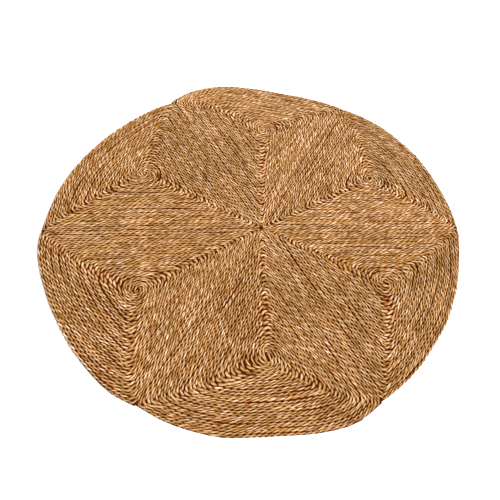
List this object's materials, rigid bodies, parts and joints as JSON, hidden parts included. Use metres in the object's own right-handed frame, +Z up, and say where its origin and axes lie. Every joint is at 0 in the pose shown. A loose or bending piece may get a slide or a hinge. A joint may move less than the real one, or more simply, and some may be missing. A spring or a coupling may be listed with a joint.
{
  "type": "round coiled grass rope floor mat",
  "caption": "Flat round floor mat of wedge-shaped panels, each coiled from twisted grass rope around an eye and joined edge to edge, with ribbed rows and an uneven hand-made outline.",
  "frame": {"origin": "on the floor, under the middle of the mat's box", "axes": "+Z up from the floor through the thickness, +X to the right and +Y away from the viewer as the mat is pictured"},
  "size_m": [1.2138, 1.2018, 0.0074],
  "materials": {
    "rope_upper_right": "matt dry grass rope",
    "rope_top": "matt dry grass rope",
    "rope_upper_left": "matt dry grass rope",
    "rope_lower_left": "matt dry grass rope",
    "rope_bottom": "matt dry grass rope",
    "rope_lower_right": "matt dry grass rope"
  },
  "bodies": {
    "root": {"panel_upper_right": "rope_upper_right", "panel_top": "rope_top", "panel_upper_left": "rope_upper_left", "panel_lower_left": "rope_lower_left", "panel_bottom": "rope_bottom", "panel_lower_right": "rope_lower_right"}
  },
  "joints": []
}
